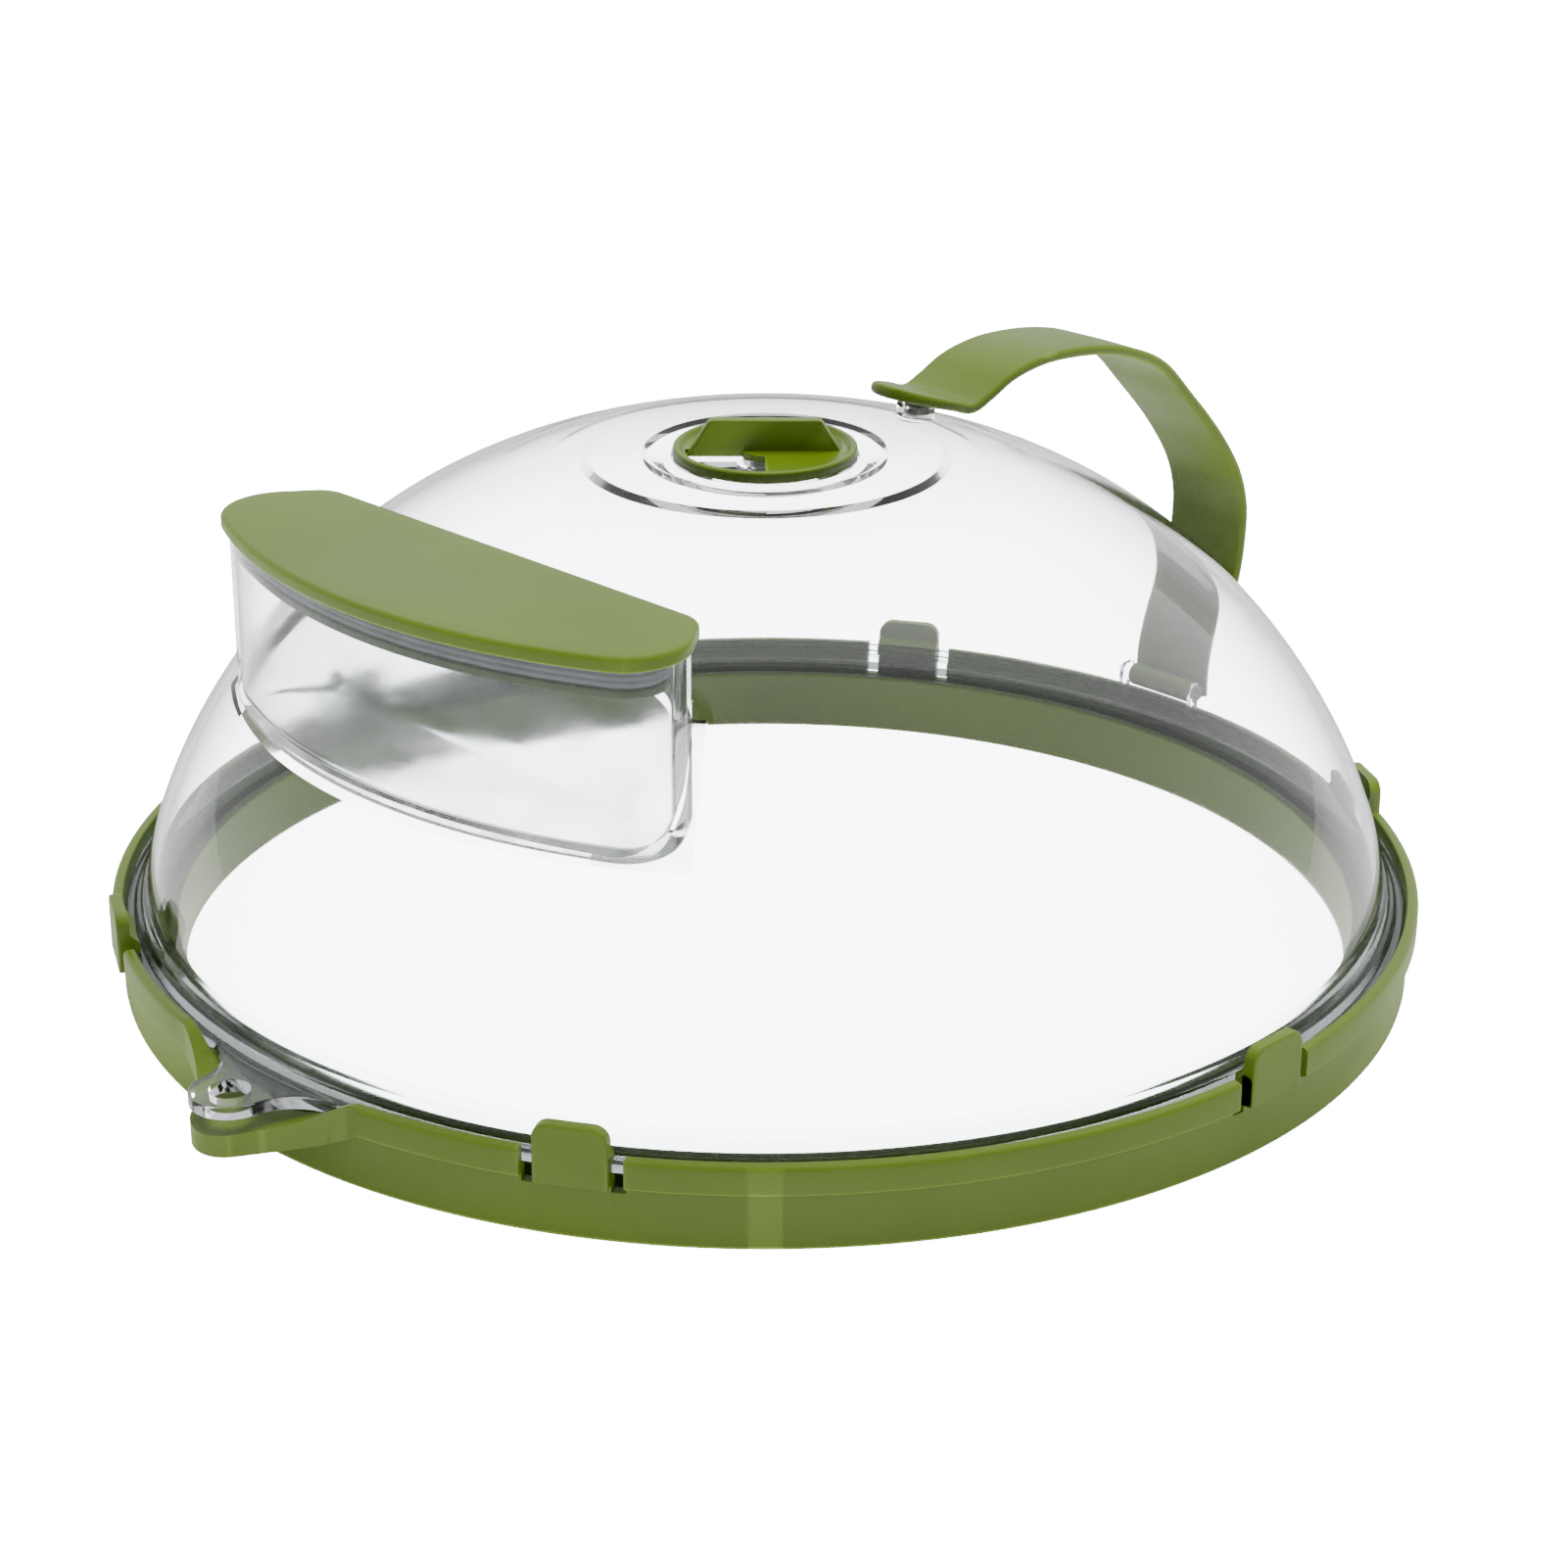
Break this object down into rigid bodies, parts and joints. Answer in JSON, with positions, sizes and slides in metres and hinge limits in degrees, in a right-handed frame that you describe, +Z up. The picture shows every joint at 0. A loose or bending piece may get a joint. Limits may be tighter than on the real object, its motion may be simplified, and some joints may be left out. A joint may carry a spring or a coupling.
{
  "type": "microwave splatter cover",
  "caption": "Clear domed splatter cover for a microwave oven, with a clip-on base ring, water tank with sealed lid, turning steam vent, strap handle and hang tab.",
  "frame": {"origin": "centre of the base ring's opening, on the plane the ring stands on", "axes": "+Z up along the axis of the dome and the vent, -Y towards the water tank and the hang tab, +Y towards the handle, +X to the right"},
  "size_m": [0.2658, 0.2877, 0.1118],
  "materials": {
    "green_plastic": "satin moulded",
    "clear_plastic": "clear polished",
    "seal_silicone": "translucent silicone"
  },
  "bodies": {
    "cover": {"base_ring": "green_plastic", "dome_shell": "clear_plastic", "water_tank": "clear_plastic", "handle_bracket": "clear_plastic"},
    "lid": {"tank_lid": "green_plastic", "tank_lid_seal": "seal_silicone"},
    "knob": {"vent_knob": "green_plastic"},
    "handle": {"handle_strap": "green_plastic", "handle_stud": "green_plastic"}
  },
  "joints": [
    {"name": "vent_turn", "type": "hinge", "parent": "cover", "child": "knob", "pos_m": [0, 0, 0.104], "axis": [0, 0, 1], "range_deg": [0, 90]},
    {"name": "tank_lid_lift", "type": "slide", "parent": "cover", "child": "lid", "axis": [0, 0, 1], "range_m": [0, 0.045]},
    {"name": "handle_swing", "type": "hinge", "parent": "cover", "child": "handle", "pos_m": [0, 0.1283, 0.0223], "axis": [-1, 0, 0], "range_deg": [0, 70]}
  ]
}
